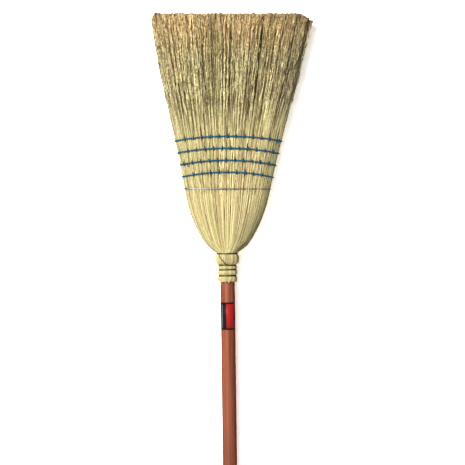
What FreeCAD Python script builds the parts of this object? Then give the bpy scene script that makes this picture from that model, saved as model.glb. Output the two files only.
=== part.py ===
"""Corn broom with a round wooden handle: a sewn, wire-bound head of broomcorn on a turned, tapered stick.

Millimetres. The origin is on the handle's axis where its straight part starts, just above the rounded butt.
+Z runs up the handle to the bristle tips, X is across the flat head and -Y is the face that carries the label.
"""
import FreeCAD, Part

import math
import os

import Sketcher

V = FreeCAD.Vector

# Driving dimensions: alias, value in millimetres (or a plain count), what it is.
DRIVING = [
    ("handle_dia", 28.0, "handle, straight part"),
    ("handle_len", 1067.0, "handle, overall: the 42 inch stick"),
    ("tip_dia", 20.0, "handle, small end of the taper inside the head"),
    ("butt_round", 6.0, "round-over on the butt end"),
    ("skirt_z", 965.0, "height of the cut ends of the stems, where the handle's taper starts"),
    ("groove_d", 975.4, "lowest wire groove"),
    ("groove_c", 986.8, "second wire groove"),
    ("groove_b", 995.3, "third wire groove, under the ball of the neck"),
    ("neck_z", 1018.5, "top wire groove, where the head begins"),
    ("groove_bed", 16.2, "radius of the bed of the three lower grooves"),
    ("neck_bed", 19.6, "radius of the bed of the top groove"),
    ("stem_ring", 18.6, "radius of the stem rings between the grooves"),
    ("ball_out", 22.6, "radius of the ball of the neck"),
    ("wire_dia", 1.6, "winding wire"),
    ("wire_step", 1.7, "distance between neighbouring turns of the winding wire"),
    ("band_z", 1143.0, "height of the wire band"),
    ("band_dia", 2.5, "wire of the band"),
    ("row_low", 1175.0, "height of the lowest sewn row, at the middle"),
    ("row_pitch", 23.1, "distance between sewn rows"),
    ("row_drop", 9.5, "how far a row drops from its middle to its ends"),
    ("row_tilt", 1.6, "how much lower a row or the band sits at its right end than at its middle"),
    ("row_count", 4, "sewn rows"),
    ("twine_dia", 2.4, "twine laid round the head in each row"),
    ("thread_dia", 1.6, "twine of the stitches that go through the head"),
    ("stitch_pitch", 16.4, "distance between stitches along a row"),
    ("tips_z", 1480.0, "height of the trimmed bristle tips"),
    ("head_lean", 15.8, "sideways set of the tips from the handle's axis"),
    ("cover", 6.5, "thickness of the outer layer of bristles"),
    ("split_low", 7.0, "half width of the middle bunch at the neck"),
    ("split_high", 54.0, "half width of the middle bunch at the tips"),
    ("label_len", 53.0, "label, along the handle"),
    ("label_wrap", 150.0, "label, degrees round the handle"),
    ("label_thick", 0.15, "label"),
    ("label_top", 924.0, "height of the label's upper edge"),
    ("nail_dia", 1.8, "nails"),
    ("nail_len", 9.0, "nails, shank"),
    ("nail_head", 4.4, "nails, head"),
]
# The head's outline: name, height, half width, half thickness.
OUTLINE = [
    ("neck", 1020.3, 21.0, 20.8),
    ("throat", 1030.0, 35.0, 23.6),
    ("shoulder", 1050.0, 50.0, 26.4),
    ("bowl", 1085.0, 67.0, 26.6),
    ("banded", 1143.0, 82.5, 22.6),
    ("sewn_low", 1158.0, 85.3, 21.9),
    ("sewn_high", 1252.0, 107.0, 21.7),
    ("spread", 1365.0, 134.0, 24.6),
    ("tips", 1480.0, 159.0, 28.0),
]
LEAN_POWER = 1.4  # the head leans slowly at first, then more
END_SHARE = 0.6  # radius of an oval's ends as a share of its half thickness
RING_ANGLES = 48  # points of a twine or wire path round the head
GAP = 0.05  # air between a wire and the stems it lies on

doc = FreeCAD.newDocument("corn_broom")
sheet = doc.addObject("Spreadsheet::Sheet", "Sizes")


class Size:
    """A length from the sheet: its value now, and the expression that keeps it bound to the cells."""

    def __init__(self, value, text):
        self.value, self.text = value, text

    def _join(self, other, sign, value):
        text = other.text if isinstance(other, Size) else repr(other)
        return Size(value, f"({self.text} {sign} {text})")

    def __add__(self, other):
        return self._join(other, "+", self.value + number(other))

    def __sub__(self, other):
        return self._join(other, "-", self.value - number(other))

    def __mul__(self, other):
        return self._join(other, "*", self.value * number(other))

    def __truediv__(self, other):
        return self._join(other, "/", self.value / number(other))

    def __neg__(self):
        return self * -1.0


def number(size):
    return size.value if isinstance(size, Size) else size


def fill_sheet():
    """Writes every driving dimension into the sheet, and returns them by alias."""
    rows = list(DRIVING)
    for name, height, wide, thick in OUTLINE:
        rows.append((f"{name}_up", height, f"{name} section: height"))
        rows.append((f"{name}_wide", wide, f"{name} section: half width"))
        rows.append((f"{name}_thick", thick, f"{name} section: half thickness"))
    found = {}
    for line, (alias, value, words) in enumerate(rows, start=1):
        sheet.set(f"A{line}", words)
        sheet.set(f"B{line}", str(value))
        sheet.setAlias(f"B{line}", alias)
        found[alias] = Size(float(value), f"Sizes.{alias}")
    return found


size = fill_sheet()
doc.recompute()
mm = {alias: s.value for alias, s in size.items()}


def bind(thing, place, value):
    """Binds one property of a document object to the sheet."""
    if isinstance(value, Size):
        thing.setExpression(place, value.text)


# ---- shapes of the head, worked out from the sheet ----


def section_lean(height):
    """Sideways place of the middle of a section at a height."""
    share = (height - mm["neck_up"]) / (mm["tips_up"] - mm["neck_up"])
    return mm["head_lean"] * share**LEAN_POWER


def at_level(height):
    """Half width, half thickness and sideways place of the head at a height, straight from section to section."""
    names = [row[0] for row in OUTLINE]
    for low, high in zip(names, names[1:]):
        if height <= mm[f"{high}_up"] or high == names[-1]:
            share = (height - mm[f"{low}_up"]) / (mm[f"{high}_up"] - mm[f"{low}_up"])
            wide = mm[f"{low}_wide"] + share * (mm[f"{high}_wide"] - mm[f"{low}_wide"])
            thick = mm[f"{low}_thick"] + share * (mm[f"{high}_thick"] - mm[f"{low}_thick"])
            low_lean = section_lean(mm[f"{low}_up"])
            return wide, thick, low_lean + share * (section_lean(mm[f"{high}_up"]) - low_lean)
    return None


def oval_arcs(wide, thick):
    """Front radius of a four-arc oval, its end radius, and the angle where the two arcs meet."""
    end = END_SHARE * thick
    front = ((wide - end) ** 2 + thick**2 - end**2) / (2 * (thick - end))
    return front, end, math.atan2(wide - end, front - thick)


def oval_point(wide, thick, turn):
    """Point of the oval where a ray at this angle, on the oval's own scale, meets it."""
    front, end, meet = oval_arcs(wide, thick)
    ray_x, ray_y = abs(math.cos(turn)) * wide, abs(math.sin(turn)) * thick
    meet_x, meet_y = front * math.sin(meet), front * math.cos(meet) - (front - thick)
    if ray_y * meet_x > ray_x * meet_y:
        middle_x, middle_y, radius = 0.0, thick - front, front
    else:
        middle_x, middle_y, radius = wide - end, 0.0, end
    long = ray_x**2 + ray_y**2
    along = ray_x * middle_x + ray_y * middle_y
    share = (along + math.sqrt(along**2 - long * (middle_x**2 + middle_y**2 - radius**2))) / long
    return math.copysign(ray_x * share, math.cos(turn)), math.copysign(ray_y * share, math.sin(turn))


def surface_point(height, turn, proud=0.0, drop=0.0):
    """Point of the head's surface, proud of it, on a row that tilts and drops towards its ends."""
    level = height - drop * math.cos(turn) ** 2 - mm["row_tilt"] * math.cos(turn)
    wide, thick, side = at_level(level)
    x, y = oval_point(wide + proud, thick + proud, turn)
    return V(side + x, y, level)


def pipe(path, radius, start, heading, up):
    """Round bar of a radius along a path that stays roughly square to a direction."""
    ring = Part.Wire(Part.makeCircle(radius, start, heading))
    shell = Part.BRepOffsetAPI.MakePipeShell(Part.Wire(path))
    shell.setBiNormalMode(up)
    shell.add(ring, False, False)
    shell.build()
    shell.makeSolid()
    return shell.shape()


def loop_bar(points, radius):
    """Closed round bar through points that lie round Z, swept in two halves."""
    curve = Part.BSplineCurve()
    curve.interpolate(Points=points, PeriodicFlag=True)
    start, end = curve.FirstParameter, curve.LastParameter
    halves = [curve.toShape(start, (start + end) / 2), curve.toShape((start + end) / 2, end)]
    return pipe(halves, radius, curve.value(start), curve.tangent(start)[0], V(0, 0, 1))


def open_bar(points, radius, up=V(0, 0, 1)):
    """Round bar through points, with two flat ends."""
    curve = Part.BSplineCurve()
    curve.interpolate(Points=points)
    return pipe(curve.toShape(), radius, points[0], curve.tangent(curve.FirstParameter)[0], up)


def shaped(label, shape):
    """A document object that holds a shape made above."""
    thing = doc.addObject("Part::Feature", label)
    thing.Shape = shape
    thing.Label = label
    return thing


# ---- sketches ----


def body_named(label):
    body = doc.addObject("PartDesign::Body", label)
    body.Label = label
    return body


def sketch_on(body, name, role):
    """A sketch on one of the body's own origin planes."""
    sketch = body.newObject("Sketcher::SketchObject", name)
    plane = next(f for f in body.Origin.OriginFeatures if f.Role == role)
    sketch.AttachmentSupport = [(plane, "")]
    sketch.MapMode = "FlatFace"
    return sketch


def fix_distance(sketch, kind, index, corner, value):
    """Binds a corner's distance from the sketch's origin along one axis."""
    if abs(number(value)) < 1e-9:
        axis = -2 if kind == "DistanceX" else -1
        sketch.addConstraint(Sketcher.Constraint("PointOnObject", index, corner, axis))
        return
    made = sketch.addConstraint(Sketcher.Constraint(kind, -1, 1, index, corner, number(value)))
    bind(sketch, f"Constraints[{made}]", value)


def outline_sketch(sketch, corners):
    """A closed outline. A corner is (x, y), or (x, y, radius) where the edge that leaves it bulges outwards."""
    count = len(corners)
    for index, corner in enumerate(corners):
        following = corners[(index + 1) % count]
        a = V(number(corner[0]), number(corner[1]), 0)
        b = V(number(following[0]), number(following[1]), 0)
        if len(corner) == 2:
            sketch.addGeometry(Part.LineSegment(a, b), False)
            continue
        radius = number(corner[2])
        half = (b - a).Length / 2
        side = V((b - a).y, -(b - a).x, 0).normalize()
        rise = radius - math.sqrt(radius**2 - half**2)
        sketch.addGeometry(Part.Arc(a, (a + b) * 0.5 + side * rise, b), False)
    for index, corner in enumerate(corners):
        arc = sketch.Geometry[index]
        start = V(number(corner[0]), number(corner[1]), 0)
        turned = isinstance(arc, Part.ArcOfCircle) and (arc.StartPoint - start).Length > 1e-6
        before = (index - 1) % count
        last = sketch.Geometry[before]
        ends = V(number(corner[0]), number(corner[1]), 0)
        last_end = 1 if (last.StartPoint - ends).Length < 1e-6 else 2
        mine = 2 if turned else 1
        sketch.addConstraint(Sketcher.Constraint("Coincident", before, last_end, index, mine))
        fix_distance(sketch, "DistanceX", index, mine, corner[0])
        fix_distance(sketch, "DistanceY", index, mine, corner[1])
        if len(corner) == 3:
            made = sketch.addConstraint(Sketcher.Constraint("Radius", index, number(corner[2])))
            bind(sketch, f"Constraints[{made}]", corner[2])


def revolved(body, name, corners):
    """A solid turned about Z from an outline in the XZ plane."""
    sketch = sketch_on(body, f"{name}_profile", "XZ_Plane")
    outline_sketch(sketch, corners)
    doc.recompute()
    feature = body.newObject("PartDesign::Revolution", f"{name}_turned")
    feature.Profile = sketch
    feature.ReferenceAxis = (sketch, ["V_Axis"])
    feature.Angle = 360.0
    doc.recompute()
    return feature


def padded_outline(body, name, role, corners, length, reverse=False, midplane=False):
    sketch = sketch_on(body, f"{name}_outline", role)
    outline_sketch(sketch, corners)
    doc.recompute()
    feature = body.newObject("PartDesign::Pad", f"{name}_pad")
    feature.Profile = sketch
    feature.Length = number(length)
    bind(feature, "Length", length)
    feature.Reversed = reverse
    feature.Midplane = midplane
    doc.recompute()
    return feature


def boolean(kind, label, base, tool):
    """A Part::Cut or Part::Common of two document objects."""
    made = doc.addObject(kind, label)
    made.Base, made.Tool = base, tool
    made.Label = label
    doc.recompute()
    return made


# ---- the pieces ----


def make_handle(nail_rooms):
    """Turned stick: rounded butt, straight part, and the taper that the head is wound on."""
    body = body_named("stick")
    half, tip, soft = size["handle_dia"] / 2, size["tip_dia"] / 2, size["butt_round"]
    revolved(body, "stick", [
        (0.0, -soft),
        (half - soft, -soft, soft),
        (half, 0.0),
        (half, size["skirt_z"]),
        (tip, size["handle_len"] - soft - 3.0),
        (tip - 3.0, size["handle_len"] - soft),
        (0.0, size["handle_len"] - soft),
    ])
    return boolean("Part::Cut", "handle", body, nail_rooms)


def taper_radius(height):
    """Radius of the handle's taper at a height."""
    share = (height - mm["skirt_z"]) / (mm["handle_len"] - mm["butt_round"] - 3.0 - mm["skirt_z"])
    return mm["handle_dia"] / 2 + share * (mm["tip_dia"] - mm["handle_dia"]) / 2


def make_label():
    """Printed label wrapped on the front of the handle."""
    body = body_named("handle_label")
    half, wrap = mm["handle_dia"] / 2, math.radians(mm["label_wrap"])
    sketch = sketch_on(body, "label_section", "XY_Plane")
    sketch.AttachmentOffset = FreeCAD.Placement(V(0, 0, mm["label_top"] - mm["label_len"]), FreeCAD.Rotation())
    bind(sketch, "AttachmentOffset.Base.z", size["label_top"] - size["label_len"])
    low, high = -math.pi / 2 - wrap / 2, -math.pi / 2 + wrap / 2
    inner = Part.Circle(V(0, 0, 0), V(0, 0, 1), half)
    outer = Part.Circle(V(0, 0, 0), V(0, 0, 1), half + mm["label_thick"])
    for circle in (inner, outer):
        sketch.addGeometry(Part.ArcOfCircle(circle, low, high), False)
    ends = [[circle.value(angle) for circle in (inner, outer)] for angle in (low, high)]
    for start, end in ends:
        sketch.addGeometry(Part.LineSegment(start, end), False)
    for line, end in ((2, 1), (3, 2)):
        sketch.addConstraint(Sketcher.Constraint("Coincident", 0, end, line, 1))
        sketch.addConstraint(Sketcher.Constraint("Coincident", 1, end, line, 2))
    for arc, radius in ((0, size["handle_dia"] / 2), (1, size["handle_dia"] / 2 + size["label_thick"])):
        sketch.addConstraint(Sketcher.Constraint("Coincident", arc, 3, -1, 1))
        made = sketch.addConstraint(Sketcher.Constraint("Radius", arc, radius.value))
        bind(sketch, f"Constraints[{made}]", radius)
    doc.recompute()
    pad = body.newObject("PartDesign::Pad", "label_pad")
    pad.Profile = sketch
    pad.Length = mm["label_len"]
    bind(pad, "Length", size["label_len"])
    doc.recompute()
    corners = [
        f"Edge{index}" for index, edge in enumerate(pad.Shape.Edges, start=1)
        if edge.Length < 2 * mm["label_thick"] and abs(edge.Vertexes[0].Z - edge.Vertexes[-1].Z) < 1e-6
    ]
    soft = body.newObject("PartDesign::Fillet", "label_corners")
    soft.Base = (pad, corners)
    soft.Radius = 2.0
    doc.recompute()
    return body


def nail_seats():
    """Each nail's name, height, the radius under its head, and the face it is driven from (-1 is the front)."""
    wound = mm["groove_bed"] + mm["wire_dia"] + 2 * GAP
    return (
        ("start_nail", mm["skirt_z"] + 87.0, taper_radius(mm["skirt_z"] + 87.0), -1),
        ("end_nail", mm["groove_d"], wound, 1),
    )


def nail_place(height, head_out, face):
    """A nail lies along Y, its head's underside at a radius, and points at the handle's axis."""
    return FreeCAD.Placement(V(0, face * head_out, height), FreeCAD.Rotation(V(1, 0, 0), 90 * face))


def make_nail(label, height, head_out, face):
    """Flat-headed wire nail, turned about its own axis and then put in place."""
    body = body_named(label)
    shank, cap = size["nail_dia"] / 2, size["nail_head"] / 2
    revolved(body, label, [
        (0.0, -0.9),
        (cap, -0.9),
        (cap, 0.0),
        (shank, 0.0),
        (shank, size["nail_len"] - 2.0),
        (0.0, size["nail_len"]),
    ])
    body.Placement = nail_place(height, head_out, face)
    doc.recompute()
    return body


def make_nail_rooms():
    """Holes that the nails fill, as one tool for the pieces they are driven through."""
    rooms = []
    for label, height, head_out, face in nail_seats():
        shank = doc.addObject("Part::Cylinder", f"{label}_room")
        bind(shank, "Radius", size["nail_dia"] / 2 + GAP)
        bind(shank, "Height", size["nail_len"])
        shank.Placement = nail_place(height, head_out, face)
        cap = doc.addObject("Part::Cylinder", f"{label}_head_room")
        bind(cap, "Radius", size["nail_head"] / 2 + GAP)
        cap.Height = 1.0
        cap.Placement = nail_place(height, head_out + 1.0, face)
        rooms += [shank, cap]
    made = doc.addObject("Part::MultiFuse", "nail_rooms")
    made.Shapes = rooms
    doc.recompute()
    return made


def neck_corners():
    """Outside of the bound stems as (radius, height), from the cut skirt up to the foot of the head."""
    bed, ring, ball = size["groove_bed"], size["stem_ring"], size["ball_out"]
    groove = (size["wire_dia"] + size["wire_step"]) / 2 + 2 * GAP
    corners = [(ring - 0.7, size["skirt_z"]), (ring, size["skirt_z"] + 1.2)]
    for name in ("groove_d", "groove_c", "groove_b"):
        corners += [
            (ring - 0.3, size[name] - groove - 0.9),
            (bed, size[name] - groove),
            (bed, size[name] + groove),
        ]
        if name != "groove_b":
            corners.append((ring - 0.3, size[name] + groove + 0.9))
    corners += [
        (ball - 1.1, size["groove_b"] + 6.4, size["ball_out"]),
        (ball - 0.7, size["neck_z"] - 5.2),
        (size["neck_bed"], size["neck_z"] - groove),
        (size["neck_bed"], size["neck_up"]),
    ]
    return corners


def stem_radius(height):
    """Outer radius of the bound stems at a height, for the wire that lies on them."""
    corners = neck_corners()
    for low, high in zip(corners, corners[1:]):
        if number(low[1]) <= height <= number(high[1]):
            half = (number(high[1]) - number(low[1])) / 2
            share = (height - number(low[1])) / (2 * half)
            radius = number(low[0]) + share * (number(high[0]) - number(low[0]))
            if len(low) == 3:
                bulge = number(low[2])
                off = height - number(low[1]) - half
                radius += math.sqrt(bulge**2 - off**2) - math.sqrt(bulge**2 - half**2)
            return radius
    return number(corners[-1][0])


def make_neck(nail_rooms):
    """Bound ends of the bristle stems, from the cut skirt to the foot of the head."""
    body = body_named("stems")
    bore = size["handle_dia"] / 2 + GAP
    corners = [(bore, size["skirt_z"])] + neck_corners()
    corners.append((taper_radius(mm["neck_up"]) + GAP, size["neck_up"]))
    revolved(body, "stems", corners)
    return boolean("Part::Cut", "neck_stems", body, nail_rooms)


def smoothed(values, reach):
    """Running mean of the running maximum: soft, and nowhere below the values given."""
    last = len(values) - 1
    spans = [(max(0, i - reach), min(last, i + reach) + 1) for i in range(len(values))]
    highest = [max(values[a:b]) for a, b in spans]
    return [sum(highest[a:b]) / (b - a) for a, b in spans]


def make_neck_wire():
    """One wire from the top groove down: a turn in each groove, and half a turn across to the next."""
    wire, step = mm["wire_dia"] / 2, mm["wire_step"]
    per_turn = 40
    levels = [mm["neck_z"], mm["groove_b"], mm["groove_c"], mm["groove_d"]]
    angles, heights = [], []
    turn = 0.5
    for index, level in enumerate(levels):
        for count in range(per_turn):
            share = count / per_turn
            angles.append(2 * math.pi * (turn + share))
            heights.append(level + step / 2 - step * share)
        turn += 1.0
        if index + 1 < len(levels):
            drop = level - levels[index + 1] - step
            for count in range(per_turn // 2):
                share = count / (per_turn // 2)
                angles.append(2 * math.pi * (turn + share / 2))
                heights.append(level - step / 2 - drop * share * share * (3 - 2 * share))
            turn += 0.5
    reaches = [wire * share / 4 for share in range(-4, 5)]
    radii = [max(stem_radius(height + reach) for reach in reaches) + wire + GAP for height in heights]
    radii = smoothed(radii, 2)
    points = [V(r * math.cos(a), r * math.sin(a), up) for r, a, up in zip(radii, angles, heights)]
    return shaped("neck_wire", open_bar(points, wire))


def oval_section(body, name, height, wide, thick, shift):
    """Sketch of one four-arc oval across the head."""
    sketch = sketch_on(body, name, "XY_Plane")
    sketch.AttachmentOffset = FreeCAD.Placement(V(number(shift), 0, number(height)), FreeCAD.Rotation())
    bind(sketch, "AttachmentOffset.Base.z", height)
    bind(sketch, "AttachmentOffset.Base.x", shift)
    end = thick * END_SHARE
    front = ((wide - end) * (wide - end) + thick * thick - end * end) / ((thick - end) * 2.0)
    meet_x = front * (wide - end) / (front - end)
    meet_y = (front - thick) * end / (front - end)
    outline_sketch(sketch, [
        (meet_x, -meet_y, end),
        (meet_x, meet_y, front),
        (-meet_x, meet_y, end),
        (-meet_x, -meet_y, front),
    ])
    return sketch


def make_head_loft(label, inset, from_level, over):
    """The head's solid envelope, inset from its outline, from one section up to past the tips."""
    body = body_named(label)
    sections = []
    for name, height, wide, thick in OUTLINE:
        if height < from_level:
            continue
        up = size[f"{name}_up"] + (over if name == OUTLINE[-1][0] else 0.0)
        sections.append(oval_section(
            body, f"{label}_{name}", up, size[f"{name}_wide"] - inset,
            size[f"{name}_thick"] - inset, size["head_lean"] * (section_lean(height) / mm["head_lean"]),
        ))
    doc.recompute()
    loft = body.newObject("PartDesign::AdditiveLoft", f"{label}_loft")
    loft.Profile = sections[0]
    loft.Sections = sections[1:]
    loft.Ruled = True
    doc.recompute()
    return body


def make_bunch_cutter(label, side, face):
    """Prism that marks out one bunch: side -1 left, 0 middle, 1 right; face -1 front, 1 back, 0 both."""
    body = body_named(label)
    low, high = size["split_low"], size["split_high"]
    bottom, top, far = size["neck_z"], size["tips_z"], 260.0
    tip = size["head_lean"]
    if side == 0:
        corners = [(-low, bottom), (low, bottom), (tip + high, top), (tip - high, top)]
    elif side > 0:
        corners = [(low, bottom), (far, bottom), (far, top), (tip + high, top)]
    else:
        corners = [(-far, bottom), (-low, bottom), (tip - high, top), (-far, top)]
    padded_outline(body, label, "XZ_Plane", corners, 140.0 if face == 0 else 70.0,
                   reverse=face > 0, midplane=face == 0)
    return body


def row_height(row):
    return mm["row_low"] + row * mm["row_pitch"]


def twine_centre(row, turn):
    """Point on the middle line of a row's laid twine."""
    return surface_point(row_height(row), turn, mm["twine_dia"] / 2 + GAP, mm["row_drop"])


STITCH_SETS = (0.0, -0.2, 0.3, -0.1)  # sideways set of each row's stitches, as a share of their pitch


def stitch_centres(row):
    """Where the laid twine is held by stitches, on the back. The top row's last one is its knot."""
    pitch = mm["stitch_pitch"]
    wide, _, side = at_level(row_height(row))
    wide -= 7.0
    last = wide - 3.0 if row + 1 == int(mm["row_count"]) else wide
    centres = []
    place = (STITCH_SETS[row] - math.floor(wide / pitch) - 1) * pitch
    while place < last:
        if place > -wide:
            low, high = 0.0, math.pi
            for _ in range(30):
                middle = (low + high) / 2
                point = twine_centre(row, middle)
                if point.x - side > place:
                    low = middle
                else:
                    high = middle
            centres.append(twine_centre(row, low))
        place += pitch
    return centres


def stitch_loop(centre, radius, reach):
    """One stitch: a flat ring round the laid twine, front and back, through the head above and below it."""
    high, low = centre.z + reach, centre.z - reach
    corners = [V(centre.x, -centre.y, high), V(centre.x, centre.y, high),
               V(centre.x, centre.y, low), V(centre.x, -centre.y, low)]
    edges = [
        Part.LineSegment(corners[0], corners[1]).toShape(),
        Part.Arc(corners[1], V(centre.x, centre.y + reach, centre.z), corners[2]).toShape(),
        Part.LineSegment(corners[2], corners[3]).toShape(),
        Part.Arc(corners[3], V(centre.x, -centre.y - reach, centre.z), corners[0]).toShape(),
    ]
    return pipe(edges, radius, corners[0], V(0, 1, 0), V(1, 0, 0))


def make_knot(row):
    """Knot and tail that end a row: in front of the right edge on the top row, else behind an edge."""
    top = row + 1 == int(mm["row_count"])
    behind = -0.09 if top else 0.30
    turn = behind if top or row % 2 else math.pi - behind
    ball, tail = size["twine_dia"] * 0.875, size["thread_dia"] / 2
    body = body_named(f"row_{row + 1}_knot")
    revolved(body, f"knot_{row + 1}", [
        (0.0, -ball, ball),
        (ball, 0.0, ball),
        (ball * 0.8, ball * 0.6),
        (tail, ball * 1.1),
        (tail, ball * 4.5),
        (0.0, ball * 4.5),
    ])
    aim = V(-0.75, -0.45, -0.5) if top else V(math.copysign(0.15, math.cos(turn)), 0.35, -0.85)
    centre = surface_point(row_height(row), turn, mm["twine_dia"] + 2.3, mm["row_drop"])
    body.Placement = FreeCAD.Placement(centre, FreeCAD.Rotation(V(0, 0, 1), aim))
    doc.recompute()
    return body


def make_row(row):
    """One sewn row: the laid twine, its stitches and its knot."""
    laid, thread = mm["twine_dia"] / 2, mm["thread_dia"] / 2
    points = [twine_centre(row, 2 * math.pi * step / RING_ANGLES) for step in range(RING_ANGLES)]
    twine = shaped(f"row_{row + 1}_twine", loop_bar(points, laid))
    reach = laid + thread + GAP
    rings = [stitch_loop(centre, thread, reach) for centre in stitch_centres(row)]
    stitches = shaped(f"row_{row + 1}_stitches", Part.makeCompound(rings))
    return [twine, stitches, make_knot(row)]


def make_needle_holes():
    """The straight passages that the stitches leave through the head."""
    radius = mm["thread_dia"] / 2 + GAP
    reach = (mm["twine_dia"] + mm["thread_dia"]) / 2 + GAP
    holes = []
    for row in range(int(mm["row_count"])):
        for centre in stitch_centres(row):
            for up in (-reach, reach):
                start = V(centre.x, -centre.y - 2.0, centre.z + up)
                holes.append(Part.makeCylinder(radius, 2 * centre.y + 4.0, start, V(0, 1, 0)))
    return shaped("needle_holes", Part.makeCompound(holes))


def make_band_wire():
    """Wire band drawn round the head, with its two ends twisted together at the back."""
    radius = mm["band_dia"] / 2
    points = [
        surface_point(mm["band_z"], 2 * math.pi * step / RING_ANGLES, radius + GAP)
        for step in range(RING_ANGLES)
    ]
    ring = loop_bar(points, radius)
    back = surface_point(mm["band_z"], math.pi / 2, radius * 2.4)
    strands = []
    for start in (0.0, math.pi):
        twist = []
        for step in range(33):
            share = step / 32
            angle = start + 2 * math.pi * 3 * share
            twist.append(V(back.x - 14.0 * share, back.y + radius * 0.72 * math.cos(angle),
                           back.z + radius * 0.72 * math.sin(angle)))
        strands.append(open_bar(twist, radius * 0.7, V(1, 0, 0)))
    return shaped("band_wire", ring.multiFuse(strands))


CORE_RING = 15.6  # radius of the first winding, on the core's straw
CORE_RISE = 0.15  # air between neighbouring turns of it


def make_core_winding():
    """First turns of wire, which hold the core to the stick."""
    step = mm["wire_dia"] + CORE_RISE
    per_turn, turns = 24, 4
    points = []
    for count in range(turns * per_turn + 1):
        angle = 2 * math.pi * count / per_turn
        up = mm["shoulder_up"] - 8.0 + step * count / per_turn
        points.append(V(CORE_RING * math.cos(angle), CORE_RING * math.sin(angle), up))
    return shaped("core_winding", open_bar(points, mm["wire_dia"] / 2))


def make_winding_channel():
    """Ring-shaped room for the first winding."""
    low, tall = mm["shoulder_up"] - 9.2, 4 * (mm["wire_dia"] + CORE_RISE) + 2.4
    rings = []
    for name, radius in (("outside", CORE_RING + 1.0), ("inside", CORE_RING - 1.0)):
        ring = doc.addObject("Part::Cylinder", f"channel_{name}")
        ring.Radius = radius
        ring.Height = tall
        ring.Placement.Base = V(0, 0, low)
        rings.append(ring)
    doc.recompute()
    return boolean("Part::Cut", "channel", *rings)


def make_head(nail_rooms):
    """Outer bunches, shoulders and core, cut from the head's envelope, with room for what runs through them."""
    outer = make_head_loft("head_outer", 0.0, 0.0, 0.0)
    inner = make_head_loft("head_inner", size["cover"], 1025.0, 5.0)
    stick = doc.getObject("stick")
    holes = make_needle_holes()
    shell = boolean("Part::Cut", "head_shell", outer, inner)
    shell = boolean("Part::Cut", "head_shell_on_stick", shell, stick)
    packed = boolean("Part::Cut", "inner_on_stick", inner, stick)
    packed = boolean("Part::Cut", "inner_nailed", packed, nail_rooms)
    packed = boolean("Part::Cut", "inner_wound", packed, make_winding_channel())
    made = []
    sides = (("left", -1), ("middle", 0), ("right", 1))
    for face_name, face in (("front", -1), ("back", 1)):
        for side_name, side in sides:
            label = f"{face_name}_{side_name}_bunch"
            cutter = make_bunch_cutter(f"{label}_room", side, face)
            whole = boolean("Part::Common", f"{label}_whole", shell, cutter)
            made.append(boolean("Part::Cut", label, whole, holes))
    for label, side in (("left_shoulder", -1), ("core_fill", 0), ("right_shoulder", 1)):
        cutter = make_bunch_cutter(f"{label}_room", side, 0)
        whole = boolean("Part::Common", f"{label}_whole", packed, cutter)
        made.append(boolean("Part::Cut", label, whole, holes))
    return made


def main():
    nail_rooms = make_nail_rooms()
    pieces = [make_handle(nail_rooms), make_label(), make_neck(nail_rooms), make_neck_wire()]
    pieces += make_head(nail_rooms)
    pieces.append(make_core_winding())
    pieces.append(make_band_wire())
    for row in range(int(mm["row_count"])):
        pieces += make_row(row)
    pieces += [make_nail(*seat) for seat in nail_seats()]
    doc.recompute()
    for thing in doc.Objects:
        if "Invalid" in thing.State or "Error" in thing.State:
            raise RuntimeError(f"{thing.Label} failed: {thing.State}")
    os.makedirs("parts", exist_ok=True)
    for piece in pieces:
        if piece.Shape.isNull() or not piece.Shape.isValid():
            raise RuntimeError(f"{piece.Label} has no valid shape")
        piece.Shape.exportStep(f"parts/{piece.Label}.step")
        print(piece.Label, len(piece.Shape.Solids), round(piece.Shape.Volume))


main()
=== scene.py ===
import math
import random

import bpy
from mathutils import Matrix, Vector


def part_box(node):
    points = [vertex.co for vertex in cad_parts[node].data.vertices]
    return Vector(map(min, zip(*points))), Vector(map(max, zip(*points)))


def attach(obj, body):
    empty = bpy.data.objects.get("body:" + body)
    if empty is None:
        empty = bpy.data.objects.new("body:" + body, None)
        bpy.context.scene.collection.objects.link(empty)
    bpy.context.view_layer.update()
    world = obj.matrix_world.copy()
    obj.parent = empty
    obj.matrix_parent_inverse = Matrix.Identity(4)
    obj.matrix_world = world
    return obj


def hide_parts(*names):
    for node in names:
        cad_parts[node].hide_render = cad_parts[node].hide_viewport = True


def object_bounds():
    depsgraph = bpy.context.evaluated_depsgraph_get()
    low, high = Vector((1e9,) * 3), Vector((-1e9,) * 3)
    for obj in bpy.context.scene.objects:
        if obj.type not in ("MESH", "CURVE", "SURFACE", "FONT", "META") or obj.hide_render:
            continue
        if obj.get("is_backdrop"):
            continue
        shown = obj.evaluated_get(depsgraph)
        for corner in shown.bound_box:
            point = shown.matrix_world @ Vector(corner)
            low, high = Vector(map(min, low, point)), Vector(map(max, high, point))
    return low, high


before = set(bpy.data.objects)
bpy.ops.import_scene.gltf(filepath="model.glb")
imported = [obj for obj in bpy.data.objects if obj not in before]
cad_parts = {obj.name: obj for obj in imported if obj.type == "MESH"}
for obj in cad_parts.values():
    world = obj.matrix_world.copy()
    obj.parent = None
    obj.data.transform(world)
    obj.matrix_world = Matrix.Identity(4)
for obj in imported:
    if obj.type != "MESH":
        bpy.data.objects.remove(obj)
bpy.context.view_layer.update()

bl_info = {
    "name": "Corn Broom",
    "version": (1, 0, 0),
    "blender": (4, 5, 0),
    "location": "3D View > Sidebar > Broom",
    "description": "Builds a sewn corn broom with a lacquered handle, bristle by bristle",
    "category": "Add Mesh",
}

BODY = "root"

# The head stands between the foot of its bunches and the trimmed tips.
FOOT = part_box("front_middle_bunch")[0][2]
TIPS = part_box("front_middle_bunch")[1][2]
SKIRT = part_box("neck_stems")[0][2]
TALL = TIPS - FOOT

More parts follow.
